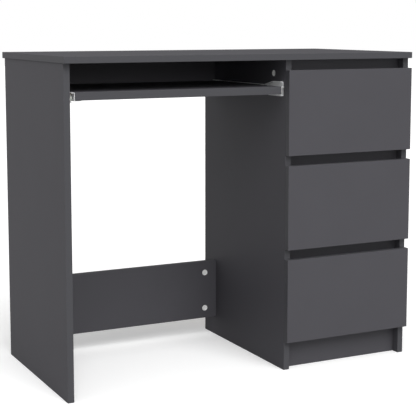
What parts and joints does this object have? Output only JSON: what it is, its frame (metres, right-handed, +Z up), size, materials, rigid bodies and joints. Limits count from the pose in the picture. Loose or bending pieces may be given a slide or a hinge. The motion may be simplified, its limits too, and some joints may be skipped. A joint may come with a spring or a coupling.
{
  "type": "writing desk",
  "caption": "Pedestal writing desk in grey melamine board with stacked drawers, a pull-out keyboard tray on roller runners, a low rear stretcher and an open knee space.",
  "frame": {"origin": "on the floor, under the middle of the desktop", "axes": "+Z up, +X to the right of a person sitting at the desk, drawer fronts face -Y"},
  "size_m": [0.9, 0.45, 0.76],
  "materials": {
    "grey_board": "dark grey melamine-faced chipboard, fine matt grain, matching edge band",
    "drawer_board": "grey foil-wrapped chipboard, matt",
    "hardboard": "thin hardboard, painted grey on the face side, brown on the back",
    "runner_steel": "pressed sheet steel with a light grey epoxy powder coat, soft gloss",
    "nylon": "moulded white nylon",
    "zinc": "cast zinc alloy, tumbled"
  },
  "bodies": {
    "carcass": {"desktop": "grey_board", "left_side_panel": "grey_board", "pedestal_left_panel": "grey_board", "pedestal_right_panel": "grey_board", "pedestal_back_panel": "hardboard", "plinth": "grey_board", "rail_above_top_drawer": "grey_board", "rail_above_middle_drawer": "grey_board", "rail_above_bottom_drawer": "grey_board", "rear_apron": "grey_board", "lower_stretcher": "grey_board", "left_side_panel_cam_front": "zinc", "left_side_panel_cam_rear": "zinc", "pedestal_left_panel_cam_front": "zinc", "pedestal_left_panel_cam_rear": "zinc", "pedestal_right_panel_cam_front": "zinc", "pedestal_right_panel_cam_rear": "zinc", "stretcher_cam_left_lower": "zinc", "stretcher_cam_left_upper": "zinc", "stretcher_cam_right_lower": "zinc", "stretcher_cam_right_upper": "zinc", "apron_cam_left": "zinc", "apron_cam_right": "zinc", "tray_channel_left": "runner_steel", "tray_channel_right": "runner_steel", "top_drawer_channel_left": "runner_steel", "top_drawer_channel_right": "runner_steel", "middle_drawer_channel_left": "runner_steel", "middle_drawer_channel_right": "runner_steel", "bottom_drawer_channel_left": "runner_steel", "bottom_drawer_channel_right": "runner_steel"},
    "keyboard_tray": {"keyboard_tray": "grey_board", "tray_angle_left": "runner_steel", "tray_angle_right": "runner_steel"},
    "top_drawer": {"top_drawer_front": "grey_board", "top_drawer_side_left": "drawer_board", "top_drawer_angle_left": "runner_steel", "top_drawer_side_right": "drawer_board", "top_drawer_angle_right": "runner_steel", "top_drawer_back": "drawer_board", "top_drawer_bottom": "hardboard"},
    "middle_drawer": {"middle_drawer_front": "grey_board", "middle_drawer_side_left": "drawer_board", "middle_drawer_angle_left": "runner_steel", "middle_drawer_side_right": "drawer_board", "middle_drawer_angle_right": "runner_steel", "middle_drawer_back": "drawer_board", "middle_drawer_bottom": "hardboard"},
    "bottom_drawer": {"bottom_drawer_front": "grey_board", "bottom_drawer_side_left": "drawer_board", "bottom_drawer_angle_left": "runner_steel", "bottom_drawer_side_right": "drawer_board", "bottom_drawer_angle_right": "runner_steel", "bottom_drawer_back": "drawer_board", "bottom_drawer_bottom": "hardboard"},
    "tray_front_roller_left": {"tray_front_roller_left": "nylon"},
    "tray_front_roller_right": {"tray_front_roller_right": "nylon"},
    "tray_rear_roller_left": {"tray_rear_roller_left": "nylon"},
    "tray_rear_roller_right": {"tray_rear_roller_right": "nylon"}
  },
  "joints": [
    {"name": "tray_slide", "type": "slide", "parent": "carcass", "child": "keyboard_tray", "axis": [0, -1, 0], "range_m": [0, 0.24]},
    {"name": "top_drawer_slide", "type": "slide", "parent": "carcass", "child": "top_drawer", "axis": [0, -1, 0], "range_m": [0, 0.26]},
    {"name": "middle_drawer_slide", "type": "slide", "parent": "carcass", "child": "middle_drawer", "axis": [0, -1, 0], "range_m": [0, 0.26]},
    {"name": "bottom_drawer_slide", "type": "slide", "parent": "carcass", "child": "bottom_drawer", "axis": [0, -1, 0], "range_m": [0, 0.26]},
    {"name": "tray_front_roller_left_spin", "type": "hinge", "parent": "carcass", "child": "tray_front_roller_left", "pos_m": [-0.42625, -0.1875, 0.6713], "axis": [1, 0, 0], "continuous": true},
    {"name": "tray_rear_roller_left_spin", "type": "hinge", "parent": "keyboard_tray", "child": "tray_rear_roller_left", "pos_m": [-0.42575, 0.107, 0.6707], "axis": [1, 0, 0], "continuous": true},
    {"name": "tray_front_roller_right_spin", "type": "hinge", "parent": "carcass", "child": "tray_front_roller_right", "pos_m": [0.09525, -0.1875, 0.6713], "axis": [1, 0, 0], "continuous": true},
    {"name": "tray_rear_roller_right_spin", "type": "hinge", "parent": "keyboard_tray", "child": "tray_rear_roller_right", "pos_m": [0.09475, 0.107, 0.6707], "axis": [1, 0, 0], "continuous": true}
  ],
  "couplings": [
    {"joint": "tray_front_roller_left_spin", "follows": "tray_slide", "rad_per_m": 105.26},
    {"joint": "tray_rear_roller_left_spin", "follows": "tray_slide", "rad_per_m": 105.26},
    {"joint": "tray_front_roller_right_spin", "follows": "tray_slide", "rad_per_m": 105.26},
    {"joint": "tray_rear_roller_right_spin", "follows": "tray_slide", "rad_per_m": 105.26}
  ]
}
